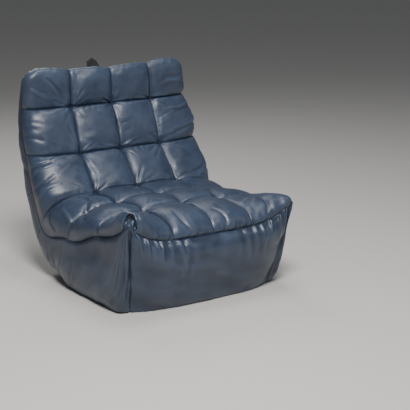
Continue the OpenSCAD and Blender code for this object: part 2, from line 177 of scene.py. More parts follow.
def body_point(v, q):
    """Seam-level point at station v and angle q in degrees: 0 front centre, 90 side, 180 rear centre."""
    v, q = np.broadcast_arrays(np.asarray(v, float), np.asarray(q, float))
    f, r = along(FRONT_LINE, FRONT_ENDS, v), along(REAR_LINE, REAR_ENDS, v)
    c = mix(f, r, table(SEAM_SPLIT, v)[..., None])
    sin, cos = np.sin(np.radians(q)), np.cos(np.radians(q))
    h = np.where(cos[..., None] < 0, c - r, f - c)
    n = squareness(v, cos < 0)
    sx = np.sign(sin) * np.abs(sin) ** (2 / n)
    s = np.sign(cos) * np.abs(cos) ** (2 / n)
    under = np.clip(-2 * s, 0, 1)
    lift = CORNER_RISE * mix(smooth((v - 0.72) / 0.28), smooth((v - 0.9) / 0.1), under) * np.abs(sx) ** 4.5
    half = table(HALF_W, v) * (BODY_W - 2 * SIDE_BULGE)
    p = c + h * s[..., None]
    return np.stack([half * sx, p[..., 0] - CORNER_REACH * lift, np.maximum(0, p[..., 1] + lift)], -1)


def angle_at(v, share, rear):
    q = np.degrees(np.arcsin(np.clip(share, 0, 1) ** (squareness(v, rear) / 2)))
    return np.where(rear, 180 - q, q)


def column_share(v):
    return table(PATCH_TAPER, v) * PATCH_W / (table(HALF_W, v) * (BODY_W - 2 * SIDE_BULGE))


def quilt_angle(v, k):
    """Angle of the quilt's column coordinate k, -2 to 2."""
    s = np.abs(k)
    inner = angle_at(v, np.minimum(s, 1) * column_share(v), False)
    outer = mix(angle_at(v, column_share(v), False), 90, s - 1)
    return np.sign(k) * np.where(s <= 1, inner, outer)


def under_angle(v, u):
    """Angle of the underside's column coordinate u: 0 and 3 at the side seams, 1 and 2 at the sole."""
    edge = angle_at(v, table(EDGE_SHARE, v), True)
    return np.where(u <= 1, mix(90, edge, u), np.where(u >= 2, mix(360 - edge, 270, u - 2),
                                                      mix(edge, 360 - edge, u - 1)))


# ---------------------------------------------------------------- grids
CELLS = 24
FINER = 3
ZIP_L, ZIP_SLOT = 0.400, 0.014
STRAP_X, STRAP_W, STRAP_T, STRAP_GAP = -0.040, 0.030, 0.003, 0.020
FAR = 9.0


def unit(p):
    return p / np.maximum(np.linalg.norm(p, axis=-1, keepdims=True), 1e-9)


def grid_normals(p):
    """Outward unit normals of a grid whose rows run along v."""
    return unit(np.cross(np.gradient(p, axis=0), np.gradient(p, axis=1)))


def crown(s, t, power):
    """1 in the middle of a patch and 0 along its edges; the lower the power, the flatter the middle."""
    return np.maximum(0, 16 * s * (1 - s) * t * (1 - t)) ** power


def noise(x, y, seed):
    """Smooth value noise, -1 to 1, with one cell to a unit."""
    x, y = np.broadcast_arrays(x, y)
    values = np.random.default_rng(seed).uniform(-1, 1, (61, 61))
    xi, yi = np.floor(x).astype(int), np.floor(y).astype(int)
    fx, fy = smooth(x - xi), smooth(y - yi)

    def at(i, j):
        return values[i % 61, j % 61]

    return mix(mix(at(xi, yi), at(xi + 1, yi), fx), mix(at(xi, yi + 1), at(xi + 1, yi + 1), fx), fy)


def new_mesh(name, points, quads):
    mesh = bpy.data.meshes.new(name)
    mesh.from_pydata(np.asarray(points).tolist(), [], quads)
    mesh.polygons.foreach_set("use_smooth", [True] * len(mesh.polygons))
    thing = bpy.data.objects.new(name, mesh)
    bpy.context.scene.collection.objects.link(thing)
    return thing


def grid_quads(rows, cols):
    """Faces of a grid, facing along the cross product of its row and column directions."""
    return [(i * cols + j, (i + 1) * cols + j, (i + 1) * cols + j + 1, i * cols + j + 1)
            for i in range(rows - 1) for j in range(cols - 1)]


v_line = np.linspace(0, 1, ROWS * CELLS + 1)
k_line = np.linspace(-2, 2, COLS * CELLS + 1)
SIDE_CELLS, SOLE_CELLS = 24, 60
u_line = np.concatenate([np.linspace(0, 1, SIDE_CELLS + 1), np.linspace(1, 2, SOLE_CELLS + 1)[1:],
                         np.linspace(2, 3, SIDE_CELLS + 1)[1:]])
SOLE_COLS = (SIDE_CELLS, SIDE_CELLS + SOLE_CELLS)
HEEL_ROW, ZIP_ROW = round(V_HEEL * ROWS * CELLS), round(V_ZIP * ROWS * CELLS)
BASE_ROWS = [round(v * ROWS * CELLS) for v in V_BASE]

qv, qk = np.meshgrid(v_line, k_line, indexing="ij")
uv, uu = np.meshgrid(v_line, u_line, indexing="ij")
quilt_seam = body_point(qv, quilt_angle(qv, qk))
under_seam = body_point(uv, under_angle(uv, uu))
quilt_out, under_out = grid_normals(quilt_seam), grid_normals(under_seam)

PUFF = 0.038
COL_ARCH, ROW_ARCH = 0.013, 0.007


def pillow_height(v, k):
    """Height of the quilt over its seam level: seams arch between tufts, patches bulge between seams."""
    s, t = (v * ROWS) % 1, (k + 2) % 1
    col_arch = COL_ARCH * np.sqrt(4 * s * (1 - s)) * (1 - smooth(np.abs(k) - 1))
    row_arch = ROW_ARCH * np.sqrt(4 * t * (1 - t)) * smooth(v * ROWS) * smooth((1 - v) * ROWS)
    return col_arch + row_arch + (PUFF - col_arch - row_arch) * crown(s, t, 0.72)


quilt_start = quilt_seam + quilt_out * pillow_height(qv, qk)[..., None]
# Between its seams the underside bulges a little
side_u = np.where(uu <= 1, uu, np.where(uu >= 2, 3 - uu, 0))
side_t = np.clip((uv - V_HEEL) / (1 - V_HEEL), 0, 1)
side_bulge = np.where(uv > V_HEEL, crown(side_u, side_t ** 1.25, 1.05), 0)
front_u = np.clip(uu - 1, 0, 1)
front_t = np.clip((uv - V_BASE[1]) / (1 - V_BASE[1]), 0, 1)
front_bulge = 4 * front_u * (1 - front_u) * crown(0.5, front_t ** 1.8, 0.75)
back_bulge = np.where(uv < V_HEEL, crown(uu / 3, np.clip(uv / V_HEEL, 0, 1), 0.6), 0)


def flat_patch(p, v):
    """0 where the strap's sewn ends and the zip lie on the rear panels, 1 away from them."""
    strap = smooth((0.10 - np.abs(p[..., 0] - STRAP_X)) / 0.04) * smooth((0.16 - v) / 0.05)
    zip_band = smooth((0.26 - np.abs(p[..., 0])) / 0.04) * smooth((0.045 - np.abs(v - V_ZIP)) / 0.03)
    return 1 - np.where(p[..., 1] > 0.2, np.maximum(strap, zip_band), 0)


under_bulge = 0.034 * side_bulge + 0.046 * front_bulge + 0.014 * back_bulge * flat_patch(under_seam, uv)
under_start = under_seam + under_out * under_bulge[..., None]


def line_finer(p, times):
    """Cubic subdivision of a grid's rows."""
    ext = np.concatenate([2 * p[:1] - p[1:2], p, 2 * p[-1:] - p[-2:-1]])
    out = []
    a, b, c, d = ext[:-3], ext[1:-2], ext[2:-1], ext[3:]
    for i in range(times):
        t = i / times
        out.append(0.5 * (2 * b + (c - a) * t + (2 * a - 5 * b + 4 * c - d) * t ** 2
                          + (3 * b - a - 3 * c + d) * t ** 3))
    mixed = np.stack(out, 1).reshape((-1,) + p.shape[1:])
    return np.concatenate([mixed, p[-1:]])


def finer(p):
    """The grid with FINER times as many cells each way."""
    return line_finer(line_finer(p, FINER).swapaxes(0, 1), FINER).swapaxes(0, 1)


# ---------------------------------------------------------------- folds and creases
def runs(p, axis):
    """Length along a grid's lines, from their start, in metres."""
    step = np.linalg.norm(np.diff(p, axis=axis), axis=-1)
    zero = np.zeros_like(np.take(step, [0], axis))
    return np.concatenate([zero, np.cumsum(step, axis=axis)], axis)


def to_lines(run, breaks, axis):
    """Distance along the grid to the nearest of its lines at those indices."""
    gaps = [np.abs(run - np.take(run, [b], axis)) for b in breaks]
    return np.min(gaps, axis=0)


def bump(x, width):
    return np.exp(-(x / width) ** 2)


def crease(p, path, width, height):
    """A ridge (or valley, with a height below 0) along a path of surface points, lost at its ends."""
    gap, share = np.full(p.shape[:2], FAR), np.zeros(p.shape[:2])
    for i, (a, b) in enumerate(zip(path, path[1:])):
        line = b - a
        t = np.clip(((p - a) @ line) / max(line @ line, 1e-12), 0, 1)
        side = np.linalg.norm(p - a - t[..., None] * line, axis=-1)
        closer = side < gap
        gap = np.where(closer, side, gap)
        share = np.where(closer, (i + t) / (len(path) - 1), share)
    return height * bump(gap, width) * np.sqrt(np.sin(np.pi * share).clip(0))


fine_v, fine_k = finer(qv[..., None])[..., 0], finer(qk[..., None])[..., 0]
seam_fine = finer(quilt_seam)
run_v, run_k = runs(seam_fine, 0), runs(seam_fine, 1)
SIZE = CELLS * FINER
row_lines = [i * SIZE for i in range(ROWS + 1)]
col_lines = [i * SIZE for i in range(COLS + 1)]
to_row, to_col = to_lines(run_v, row_lines, 0), to_lines(run_k, col_lines, 1)
to_inner_row = to_lines(run_v, row_lines[1:-1], 0)
to_inner_col = to_lines(run_k, col_lines[1:-1], 1)
to_rim = np.minimum(to_lines(run_v, [0, row_lines[-1]], 0), to_lines(run_k, [0, col_lines[-1]], 1))


def patchwise(p):
    """A quilt grid made finer patch by patch, so that its seams stay sharp."""
    rows = []
    for r in range(ROWS):
        strip = [finer(p[r * CELLS:(r + 1) * CELLS + 1, c * CELLS:(c + 1) * CELLS + 1])
                 for c in range(COLS)]
        strip = np.concatenate([s[:, :-1] for s in strip[:-1]] + [strip[-1]], 1)
        rows.append(strip if r == ROWS - 1 else strip[:-1])
    return np.concatenate(rows)


def tuft_creases(p):
    """Creases that run out from each tuft, deep by the tuft and lost in the patch."""
    rng = np.random.default_rng(11)
    high = np.zeros(p.shape[:2])
    span = 60
    for r in range(1, ROWS):
        for c in range(1, COLS):
            i, j = r * SIZE, c * SIZE
            rows, cols = np.s_[i - span:i + span + 1], np.s_[j - span:j + span + 1]
            here, middle = p[rows, cols], p[i, j]
            start = rng.uniform(0, 360)
            for turn in start + np.arange(6) * 60 + rng.uniform(-22, 22, 6):
                reach = rng.uniform(22, 52)
                ei = int(np.clip(span + reach * math.sin(math.radians(turn)), 1, 2 * span - 1))
                ej = int(np.clip(span + reach * math.cos(math.radians(turn)), 1, 2 * span - 1))
                size, width = rng.uniform(0.0024, 0.0052), rng.uniform(0.0045, 0.0085)
                line = here[ei, ej] - middle
                t = ((here - middle) @ line) / (line @ line)
                side = np.linalg.norm(here - middle - np.clip(t, 0, 1)[..., None] * line, axis=-1)
                along_it = smooth(t / 0.15) * smooth((1.05 - t) / 0.7)
                wide = width * (0.7 + 0.9 * np.clip(t, 0, 1))
                high[rows, cols] += size * along_it * (1.3 * bump(side, 2.1 * wide) - 1.9 * bump(side, wide))
    return high


# Wrinkles that stand out, each from one station and column to another: (v, k, v, k, width, height)
WRINKLES = [
    (0.375, -1.95, 0.345, -1.35, 0.009, -0.0056), (0.405, -1.95, 0.372, -1.30, 0.008, 0.0048),
    (0.430, -1.90, 0.405, -1.40, 0.009, -0.0048), (0.455, -1.85, 0.440, -1.35, 0.010, 0.0048),
    (0.360, -1.75, 0.335, -1.15, 0.007, 0.0042), (0.270, -1.95, 0.285, -1.45, 0.010, -0.0042),
    (0.215, 1.10, 0.195, 1.80, 0.008, 0.0048), (0.240, 1.15, 0.225, 1.85, 0.008, -0.0048),
    (0.290, 1.20, 0.255, 1.90, 0.010, 0.0054), (0.315, 1.10, 0.285, 1.80, 0.008, -0.0048),
    (0.095, 1.15, 0.080, 1.75, 0.009, -0.0051), (0.120, 1.10, 0.110, 1.70, 0.008, 0.0048),
    (0.130, -1.10, 0.060, -1.35, 0.009, -0.0048), (0.140, -1.20, 0.095, -1.75, 0.009, 0.0045),
    (0.480, 1.05, 0.430, 1.55, 0.010, -0.0064), (0.490, 1.30, 0.450, 1.80, 0.010, 0.0056),
    (0.510, -1.25, 0.620, -1.25, 0.012, -0.0080), (0.620, -1.22, 0.760, -1.65, 0.012, -0.0080),
    (0.560, -1.55, 0.700, -1.85, 0.011, 0.0064), (0.530, -1.70, 0.610, -1.95, 0.009, -0.0056),
    (0.850, -1.10, 0.900, -1.60, 0.010, -0.0056), (0.870, 1.20, 0.930, 1.75, 0.010, -0.0056),
    (0.930, 0.20, 0.985, 0.35, 0.009, -0.0048), (0.920, -0.70, 0.985, -0.60, 0.009, -0.0048),
    (0.930, 1.30, 0.985, 1.20, 0.009, -0.0051),
]


def quilt_creases(p):
    """Height of the small folds of the sitting side."""
    to_tuft = np.hypot(to_inner_row, to_inner_col)
    part = np.floor(np.clip(fine_v, 0, 0.9999) * ROWS) * COLS + np.floor(np.clip(fine_k + 2, 0, 3.9999))
    own = part * 7.31  # so that no two patches have the same folds
    high = -0.009 * bump(to_tuft, 0.030) + tuft_creases(p)
    across = noise(run_k / 0.016, run_v / 0.07 + own, 5) * np.exp(-to_row / 0.015) * smooth(to_row / 0.008)
    down = noise(run_v / 0.018, run_k / 0.07 + own, 6) * np.exp(-to_col / 0.012) * smooth(to_col / 0.008)
    high += 0.0024 * across + 0.0014 * down
    mid = smooth(to_row / 0.03) * smooth(to_col / 0.03)
    slant = (run_v + 0.35 * run_k * np.sign(fine_k)) / 0.016
    patchy = np.maximum(0, noise(run_v / 0.09, run_k / 0.09, 9))
    high += mid * 0.0013 * noise(slant, run_k / 0.10 + own, 8) * (0.15 + patchy)
    high += mid * 0.0042 * noise(run_v / 0.070 + own, run_k / 0.080, 10)
    high += mid * 0.0014 * noise(run_v / 0.028 + own, run_k / 0.040, 13) * (0.3 + patchy)
    # The seat's front patches are gathered into the front seam
    before = run_v[-1:] - run_v
    seat_gather = noise(run_k / 0.020, before / 0.10, 12) * np.exp(-before / 0.045) * smooth(before / 0.008)
    high += 0.0055 * seat_gather
    for n, (v0, k0, v1, k1, width, height) in enumerate(WRINKLES):
        t = np.linspace(0, 1, 10)
        bow = 0.05 * (-1) ** n * np.sin(np.pi * t)
        rows = np.rint((mix(v0, v1, t) + 0.2 * bow * abs(k1 - k0)) * ROWS * SIZE).astype(int)
        cols = np.rint((mix(k0, k1, t) + bow + 2) * SIZE).astype(int)
        near = np.s_[max(0, rows.min() - 16):rows.max() + 16, max(0, cols.min() - 16):cols.max() + 16]
        path = p[rows.clip(0, len(p) - 1), cols.clip(0, p.shape[1] - 1)]
        high[near] += crease(p[near], path, width, height)
    return high


# Folds of both side panels, from one station and column to another: (v, u, v, u, width, height)
PANEL_FOLDS = [
    (0.985, 0.75, 0.905, 0.62, 0.008, 0.0040), (0.980, 0.55, 0.890, 0.46, 0.008, -0.0035),
    (0.978, 0.90, 0.915, 0.80, 0.008, -0.0035), (0.960, 0.40, 0.880, 0.34, 0.008, 0.0030),
    (0.560, 0.10, 0.585, 0.55, 0.009, 0.0040), (0.600, 0.08, 0.620, 0.50, 0.009, -0.0040),
    (0.640, 0.08, 0.655, 0.45, 0.009, 0.0035), (0.720, 0.08, 0.715, 0.40, 0.010, -0.0030),
]


def under_creases(p, v):
    """Height of the folds of the panels below the side and front seams, and of the rear panels."""
    run_down, run_over = runs(p, 0), runs(p, 1)
    high = 0.0065 * noise(run_down / 0.10, run_over / 0.12, 21)
    patchy = 0.4 + np.maximum(0, noise(run_down / 0.12, run_over / 0.10, 24))
    high += 0.0026 * noise(run_down / 0.034, run_over / 0.080, 22) * patchy
    front = (v > V_BASE[1]) & (under_u > 1) & (under_u < 2)
    below = run_down[-1:] - run_down
    gathers = np.zeros_like(high)
    # The front panel is gathered into the front seam
    rng = np.random.default_rng(4)
    for x in np.cumsum(rng.uniform(0.030, 0.052, 26)) - 0.44:
        long, slant, size = rng.uniform(0.12, 0.26), rng.uniform(-0.22, 0.22), rng.uniform(0.009, 0.017)
        width = rng.uniform(0.0075, 0.0120)
        ridge = bump(p[..., 0] - x - slant * below, width * (0.55 + below / long))
        gathers += size * ridge * smooth(1 - below / long)
    gathers -= 0.007 * smooth(1 - below / 0.10)
    high += np.where(front, gathers * smooth(below / 0.006), 0)
    for v0, u0, v1, u1, width, height in PANEL_FOLDS:
        for side in (0, 1):
            t = np.linspace(0, 1, 10)
            rows = np.rint(mix(v0, v1, t) * (len(p) - 1)).astype(int)
            u = mix(u0, u1, t) + 0.02 * np.sin(np.pi * t)
            cols = np.rint(np.interp(3 - u if side else u, under_u[0], np.arange(p.shape[1]))).astype(int)
            near = np.s_[max(0, rows.min() - 20):rows.max() + 20]
            high[near] += crease(p[near], p[rows, cols], width, height)
    return high


# Where the front left corner's fold stands
CORNER = 0.5 * (body_point(1.0, -90.0) + body_point(0.985, -88.0))


def ear(p):
    """The front left corner: the leather stands up round it and folds into an arch that faces the front."""
    across = unit(np.array([1.0, -0.9, 0.0]))
    forward = unit(np.array([-0.9, -1.0, 0.0]))
    gap = p - CORNER
    reach = np.linalg.norm(gap, axis=-1)
    held = smooth(to_rim / 0.020)
    raised = 0.040 * bump(reach - 0.060, 0.050) * held
    p = p + np.array([-0.12, -0.12, 1.0]) * raised[..., None]
    gap = p - CORNER
    a, b = gap @ across, gap @ np.array([0, 0, 1.0]) + 0.004
    ring = np.hypot(a / 0.030, b / 0.062)
    close = smooth((0.115 - reach) / 0.03) * smooth(to_rim / 0.006)
    inside = smooth((1.0 - ring) / 0.28)
    folds = 0.0042 * np.cos(ring * 2 * np.pi / 0.36) * inside
    push = close * (-0.026 * inside + folds + 0.006 * bump(ring - 1.10, 0.13))
    return p + forward * push[..., None]


def settle(p):
    """The back's top corners as the filling leaves them: left square and high, right drawn in."""
    x, z = p[..., 0], p[..., 2]
    left = smooth((z - 0.78) / 0.14) * smooth((-x - 0.10) / 0.25)
    right = smooth((z - 0.78) / 0.14) * smooth((x - 0.08) / 0.25)
    drawn = smooth((z - 0.62) / 0.34) * smooth((x - 0.20) / 0.22)
    return p + np.stack([-0.008 * left - 0.018 * drawn, 0 * x, 0.016 * left + 0.015 * right], -1)


quilt_fine = patchwise(quilt_start)
under_fine = finer(under_start)
under_v, under_u = finer(uv[..., None])[..., 0], finer(uu[..., None])[..., 0]

# ---------------------------------------------------------------- seams of the lower panels
under_run_v, under_run_u = runs(under_fine, 0), runs(under_fine, 1)
HEEL, SOLE_TOP, SOLE_END = HEEL_ROW * FINER, BASE_ROWS[0] * FINER, BASE_ROWS[1] * FINER
LEFT_COL, RIGHT_COL = SOLE_COLS[1] * FINER, SOLE_COLS[0] * FINER
last_row, last_col = under_fine.shape[0] - 1, under_fine.shape[1] - 1
to_corner = np.where(under_v >= V_HEEL, to_lines(under_run_u, [RIGHT_COL, LEFT_COL], 1), FAR)
to_heel = to_lines(under_run_v, [HEEL], 0)
to_edge = np.minimum(to_lines(under_run_v, [0, last_row], 0), to_lines(under_run_u, [0, last_col], 1))
to_seam = np.minimum(np.minimum(to_corner, to_heel), to_edge)
off_sole = np.clip(under_fine[..., 2] / 0.012, 0, 1)

quilt_normal, under_normal = grid_normals(quilt_fine), grid_normals(under_fine)
quilt_high = quilt_creases(quilt_fine)
under_high = under_creases(under_fine, under_v) * smooth(to_edge / 0.012)
under_high += -0.0010 * bump(to_seam, 0.005) * (to_edge > 0.02)
pucker = noise(under_run_v / 0.012, under_run_u / 0.05, 31) * np.exp(-to_corner / 0.018)
pucker += noise(under_run_u / 0.013, under_run_v / 0.05, 32) * np.exp(-to_heel / 0.018)
pucker += noise(under_run_v / 0.014 + under_run_u / 0.014, under_run_v / 0.05, 33) * np.exp(-to_edge / 0.014)
under_high += 0.0022 * pucker * smooth(to_seam / 0.005)
quilt_final = settle(ear(quilt_fine + quilt_normal * quilt_high[..., None]))
under_high *= flat_patch(under_fine, under_v)
under_final = under_fine + under_normal * (under_high * off_sole)[..., None]
under_final[..., 2] = np.maximum(0, under_final[..., 2])
under_final = settle(under_final)

# The rear panels part along the zip
zip_row = ZIP_ROW * FINER
slot_share = smooth((ZIP_L / 2 + 0.022 - np.abs(under_final[..., 0])) / 0.014)
down_dir = unit(np.gradient(under_final, axis=0))
from_zip = np.abs(under_run_v - under_run_v[[zip_row]])
part_by = ZIP_SLOT / 2 * slot_share * smooth(1 - from_zip / 0.05)


# ---------------------------------------------------------------- materials
def new_material(name, colour, roughness, metallic=0.0):
    mat = bpy.data.materials.new(name)
    mat.use_nodes = True
    shader = mat.node_tree.nodes["Principled BSDF"]
    shader.inputs["Base Color"].default_value = (*colour, 1)
    shader.inputs["Roughness"].default_value = roughness
    shader.inputs["Metallic"].default_value = metallic
    return mat


class Wiring:
    """Short hand for a material's node tree."""

    def __init__(self, mat):
        self.nodes, self.links = mat.node_tree.nodes, mat.node_tree.links
        self.shader = self.nodes["Principled BSDF"]
        self.place = self.nodes.new("ShaderNodeTexCoord").outputs["Object"]

    def noise(self, scale, detail=4, rough=0.55, stretch=None):
        node = self.nodes.new("ShaderNodeTexNoise")
        node.inputs["Scale"].default_value = scale
        node.inputs["Detail"].default_value = detail
        node.inputs["Roughness"].default_value = rough
        place = self.place
        if stretch:
            mapping = self.nodes.new("ShaderNodeMapping")
            mapping.inputs["Scale"].default_value = stretch
            self.links.new(place, mapping.inputs["Vector"])
            place = mapping.outputs["Vector"]
        self.links.new(place, node.inputs["Vector"])
        return node.outputs["Fac"]

    def cells(self, scale):
        node = self.nodes.new("ShaderNodeTexVoronoi")
        node.feature = "DISTANCE_TO_EDGE"
        node.inputs["Scale"].default_value = scale
        self.links.new(self.place, node.inputs["Vector"])
        return node.outputs["Distance"]

    def waves(self, scale, direction):
        node = self.nodes.new("ShaderNodeTexWave")
        node.bands_direction = direction
        node.inputs["Scale"].default_value = scale
        node.inputs["Distortion"].default_value = 0.3
        self.links.new(self.place, node.inputs["Vector"])
        return node.outputs["Fac"]

    def level(self, value, low, high, to_low, to_high):
        node = self.nodes.new("ShaderNodeMapRange")
        for name, number in (("From Min", low), ("From Max", high), ("To Min", to_low), ("To Max", to_high)):
            node.inputs[name].default_value = number
        self.links.new(value, node.inputs["Value"])
        return node.outputs["Result"]

    def math(self, kind, a, b):
        node = self.nodes.new("ShaderNodeMath")
        node.operation = kind
        for value, socket in ((a, node.inputs[0]), (b, node.inputs[1])):
            if isinstance(value, (int, float)):
                socket.default_value = value
            else:
                self.links.new(value, socket)
        return node.outputs[0]

    def colours(self, share, dark, light):
        node = self.nodes.new("ShaderNodeMix")
        node.data_type = "RGBA"
        node.inputs["A"].default_value = (*dark, 1)
        node.inputs["B"].default_value = (*light, 1)
        self.links.new(share, node.inputs["Factor"])
        return node.outputs["Result"]

    def attribute(self, name):
        node = self.nodes.new("ShaderNodeAttribute")
        node.attribute_name = name
        return node.outputs["Fac"]

    def relief(self, height, distance, strength=1.0):
        node = self.nodes.new("ShaderNodeBump")
        node.inputs["Distance"].default_value = distance
        node.inputs["Strength"].default_value = strength
        self.links.new(height, node.inputs["Height"])
        self.links.new(node.outputs["Normal"], self.shader.inputs["Normal"])


def leather(name, dark, light, roughness):
    mat = new_material(name, mix(np.array(dark), np.array(light), 0.5), roughness)
    w = Wiring(mat)
    mottle = w.noise(9, 5, 0.6)
    fine = w.noise(60, 4, 0.6)
    # The ridge attribute sets the leather's tone. Ridges are painted lighter, as worn leather and as painted
    # highlight. Valleys, tufts and seams are painted darker, as painted shade.
    ridge_wear_and_shade = w.attribute("ridge")
    share = w.math("ADD", w.level(mottle, 0.35, 0.65, 0.0, 0.7), w.level(fine, 0.3, 0.7, -0.12, 0.12))
    share = w.math("ADD", share, w.level(ridge_wear_and_shade, -1, 1, -0.45, 0.5))
    w.links.new(w.colours(share, dark, light), w.shader.inputs["Base Color"])
    sheen = w.math("ADD", w.level(w.noise(14, 4), 0.3, 0.7, roughness - 0.05, roughness + 0.07),
                   w.level(fine, 0.3, 0.7, -0.03, 0.03))
    w.links.new(sheen, w.shader.inputs["Roughness"])
    grain = w.level(w.cells(420), 0, 0.35, 0, 1)
    w.relief(w.math("ADD", grain, w.math("MULTIPLY", w.noise(150, 3), 1.6)), 0.00022, 0.8)
    w.shader.inputs["Coat Weight"].default_value = 0.12
    w.shader.inputs["Coat Roughness"].default_value = 0.30
    return mat


def webbing(name, colour):
    mat = new_material(name, colour, 0.75)
    w = Wiring(mat)
    ribs = w.math("ADD", w.waves(260, "X"), w.waves(190, "Z"))
    w.links.new(w.colours(w.level(w.noise(220, 3), 0.3, 0.7, 0, 1), tuple(c * 0.6 for c in colour),
                          tuple(c * 1.7 for c in colour)), w.shader.inputs["Base Color"])
    w.relief(ribs, 0.0004, 0.7)
    return mat


def rough_surface(name, dark, light, roughness, scale, metallic=0.0, depth=0.0002, stretch=None):
    mat = new_material(name, mix(np.array(dark), np.array(light), 0.5), roughness, metallic)
    w = Wiring(mat)
    grain = w.noise(scale, 5, 0.6, stretch)
    w.links.new(w.colours(w.level(grain, 0.3, 0.7, 0, 1), dark, light), w.shader.inputs["Base Color"])
    w.links.new(w.level(w.noise(scale / 5, 3), 0.3, 0.7, roughness - 0.08, roughness + 0.08),
                w.shader.inputs["Roughness"])
    w.relief(grain, depth, 0.6)
    return mat


LEATHER = leather("navy_leather", (0.019, 0.029, 0.053), (0.038, 0.055, 0.092), 0.35)
SOLE = leather("sole_leather", (0.016, 0.024, 0.042), (0.028, 0.041, 0.068), 0.55)
WEBBING = webbing("black_webbing", (0.012, 0.012, 0.013))
THREAD = rough_surface("black_thread", (0.03, 0.03, 0.032), (0.06, 0.06, 0.062), 0.6, 900)
FINISHES = {
    "wadding": rough_surface("wadding", (0.62, 0.62, 0.60), (0.80, 0.80, 0.78), 0.9, 90),
    "backing": rough_surface("backing_cloth", (0.52, 0.46, 0.36), (0.66, 0.60, 0.48), 0.85, 700),
    "tuft_ties": rough_surface("tufting_cord", (0.020, 0.026, 0.040), (0.040, 0.050, 0.075), 0.7, 900),
    "tuft_washers": rough_surface("washer", (0.40, 0.40, 0.41), (0.50, 0.50, 0.51), 0.45, 300),
    "liner": rough_surface("liner_cloth", (0.60, 0.58, 0.52), (0.74, 0.72, 0.66), 0.85, 600),
    "bead": rough_surface("beads", (0.78, 0.78, 0.78), (0.90, 0.90, 0.90), 0.8, 260, depth=0.0010),
    "zip_tape": rough_surface("zip_tape", (0.010, 0.010, 0.011), (0.028, 0.028, 0.030), 0.8, 800,
                              stretch=(1, 0.2, 0.2)),
    "zip_teeth": rough_surface("zip_plastic", (0.018, 0.018, 0.020), (0.030, 0.030, 0.033), 0.42, 500),
    "zip_end": rough_surface("zip_stop", (0.30, 0.30, 0.31), (0.42, 0.42, 0.43), 0.35, 500, 1.0),
    "zip_slider": rough_surface("zip_metal", (0.42, 0.42, 0.43), (0.58, 0.58, 0.59), 0.30, 500, 1.0),
    "zip_pull": rough_surface("zip_pull_metal", (0.40, 0.40, 0.41), (0.56, 0.56, 0.57), 0.28, 420, 1.0),
}
for thing in list(bpy.data.objects):
    if thing.type == "MESH" and "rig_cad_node" in thing:
        for key, finish in FINISHES.items():
            if key in thing.name:
                thing.data.materials.clear()
                thing.data.materials.append(finish)


# ---------------------------------------------------------------- leather pieces
LIP, TURN_IN = 0.0008, 0.007


def ridge_of(p, normals):
    """How far each point stands proud of its neighbours, -1 to 1."""
    soft = p.copy()
    for _ in range(6):
        soft[1:-1, 1:-1] = (soft[:-2, 1:-1] + soft[2:, 1:-1] + soft[1:-1, :-2] + soft[1:-1, 2:]) / 4
    return np.clip(((p - soft) * normals).sum(-1) / 0.0012, -1, 1)


def turned_in(p, inward):
    """The grid with its border turned in, as at a sewn seam: a rounded lip, then the allowance."""
    h, w = p.shape[:2]
    ri = np.clip(np.arange(h + 4) - 2, 0, h - 1)
    ci = np.clip(np.arange(w + 4) - 2, 0, w - 1)
    deep_r = np.maximum(np.maximum(2 - np.arange(h + 4), np.arange(h + 4) - h - 1), 0)
    deep_c = np.maximum(np.maximum(2 - np.arange(w + 4), np.arange(w + 4) - w - 1), 0)
    deep = np.maximum(deep_r[:, None], deep_c[None, :])
    depth = np.array([0, LIP, TURN_IN])[deep]
    out = p[ri][:, ci] + inward[ri][:, ci] * depth[..., None]
    return out, ri, ci


def leather_piece(node, p, out, ridge, mat, lowest=None):
    """The visible leather of one CAD node."""
    grid, ri, ci = turned_in(p, -out)
    if lowest is not None:
        grid[..., 2] = np.maximum(grid[..., 2], lowest)
    piece = new_mesh("leather_" + node, grid.reshape(-1, 3), grid_quads(*grid.shape[:2]))
    # The ridge tone colours the leather: wear and painted highlight on ridges, painted shade in valleys and
    # along seams.
    tone = piece.data.attributes.new("ridge", "FLOAT", "POINT")
    tone.data.foreach_set("value", ridge[ri][:, ci].ravel().astype(np.float32))
    piece.data.materials.append(mat)
    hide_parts(node)
    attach(piece, "cushion")
    return piece


to_inner = np.minimum(to_inner_row, to_inner_col)
# Painted shade: the tone is pulled down along the seams and at the tufts, on top of the ridge value, so the
# leather shader darkens them.
quilt_ridge_and_seam_shade = ridge_of(quilt_final, quilt_normal) - 0.7 * bump(to_inner, 0.004) - 0.3 * bump(to_rim, 0.003)
under_ridge_and_seam_shade = ridge_of(under_final, under_normal) - 0.4 * bump(to_seam, 0.003)
seam_out = grid_normals(seam_fine)
for r in range(ROWS):
    for c in range(COLS):
        at = np.s_[r * SIZE:(r + 1) * SIZE + 1, c * SIZE:(c + 1) * SIZE + 1]
        node = f"quilt_patch_r{r + 1}_c{c + 1}"
        leather_piece(node, quilt_final[at], seam_out[at], quilt_ridge_and_seam_shade[at], LEATHER)

above = under_final - down_dir * part_by[..., None]
below_zip = under_final + down_dir * part_by[..., None]
MIDDLE = np.s_[RIGHT_COL:LEFT_COL + 1]
PANELS = {
    "rear_panel_upper": (above, np.s_[:zip_row + 1, :], LEATHER, "leather", 0.8),
    "rear_panel_lower": (below_zip, np.s_[zip_row:HEEL + 1, :], LEATHER, "leather", 0.8),
    "side_panel_right": (under_final, np.s_[HEEL:, :RIGHT_COL + 1], LEATHER, "leather", 0.8),
    "side_panel_left": (under_final, np.s_[HEEL:, LEFT_COL:], LEATHER, "leather", 0.8),
    "front_panel": (under_final, np.s_[SOLE_END:, MIDDLE], LEATHER, "leather", 0.8),
    "heel_panel": (under_final, np.s_[HEEL:SOLE_TOP + 1, MIDDLE], SOLE, "sole_leather", 0.8),
    "base_panel": (under_final, np.s_[SOLE_TOP:SOLE_END + 1, MIDDLE], SOLE, "sole_leather", 0),
}
